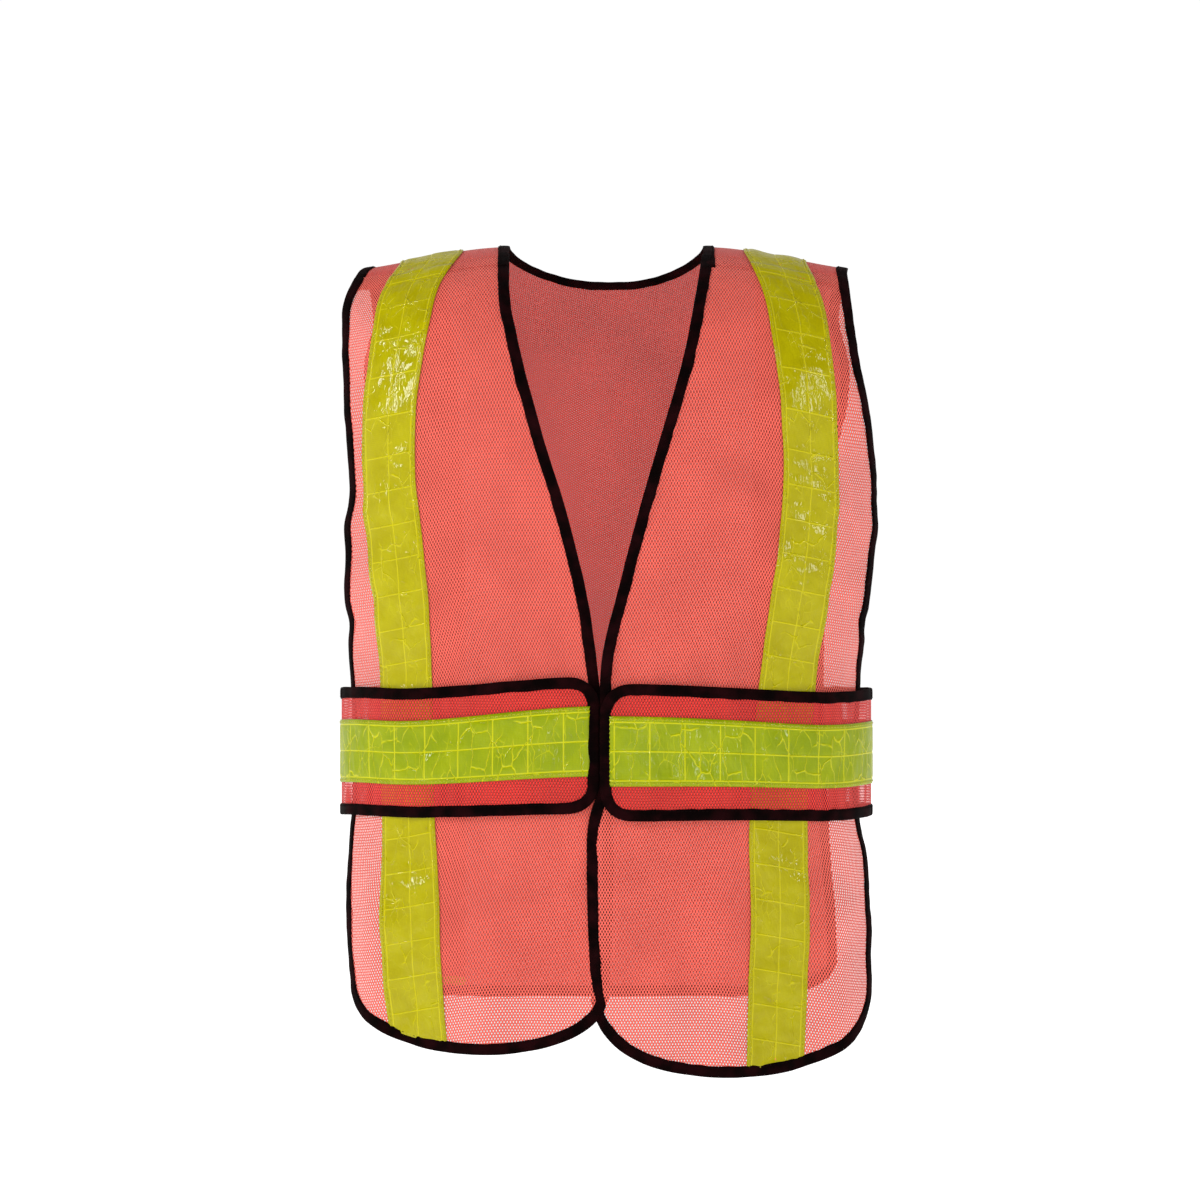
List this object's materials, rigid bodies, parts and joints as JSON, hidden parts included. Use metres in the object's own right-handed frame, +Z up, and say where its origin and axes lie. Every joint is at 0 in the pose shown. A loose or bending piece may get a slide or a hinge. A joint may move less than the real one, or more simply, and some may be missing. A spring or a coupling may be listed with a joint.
{
  "type": "high visibility vest",
  "caption": "Sleeveless high visibility vest in open mesh with black knit binding, reflective tapes front and back and a wrap-round waist belt.",
  "frame": {"origin": "midway between the two neck-shoulder points, at the top of the shoulder line", "axes": "+Z up along the garment, +X towards the wearer's left, the front faces -Y"},
  "size_m": [0.4385, 0.2606, 0.6702],
  "materials": {
    "mesh": "open warp-knit mesh, matte",
    "binding": "ribbed knit tape, matte",
    "tape": "glossy prismatic reflective tape",
    "patch": "hook and loop, matte"
  },
  "bodies": {
    "back": {"back_panel": "mesh", "back_neck_binding": "binding", "back_edge_binding": "binding", "back_tape_right": "tape", "shoulder_seam_right": "mesh", "back_tape_left": "tape", "shoulder_seam_left": "mesh", "belt_mesh_back": "mesh", "belt_tape_back": "tape", "belt_binding_back_top": "binding", "belt_binding_back_low": "binding"},
    "front_right": {"front_panel_right": "mesh", "front_binding_right": "binding", "front_tape_right": "tape", "front_loop_right": "patch", "closure_tab": "patch"},
    "front_left": {"front_panel_left": "mesh", "front_binding_left": "binding", "front_tape_left": "tape", "front_loop_left": "patch", "closure_hook": "patch"},
    "belt_right": {"belt_mesh_right": "mesh", "belt_binding_right": "binding", "belt_tape_right": "tape", "belt_hook_right": "patch"},
    "belt_left": {"belt_mesh_left": "mesh", "belt_binding_left": "binding", "belt_tape_left": "tape", "belt_hook_left": "patch"}
  },
  "joints": [
    {"name": "left_front_open", "type": "hinge", "parent": "back", "child": "front_left", "pos_m": [0.2197, 0, -0.411], "axis": [0, 0, 1], "range_deg": [0, 75]},
    {"name": "right_front_open", "type": "hinge", "parent": "back", "child": "front_right", "pos_m": [-0.2197, 0, -0.411], "axis": [0, 0, -1], "range_deg": [0, 56.25]},
    {"name": "left_belt_peel", "type": "hinge", "parent": "front_left", "child": "belt_left", "pos_m": [0.2197, 0, -0.411], "axis": [0, 0, 1], "range_deg": [0, 60]},
    {"name": "right_belt_peel", "type": "hinge", "parent": "front_right", "child": "belt_right", "pos_m": [-0.2197, 0, -0.411], "axis": [0, 0, -1], "range_deg": [0, 60]}
  ],
  "couplings": [
    {"joint": "right_front_open", "follows": "left_front_open", "ratio": 0.75}
  ]
}
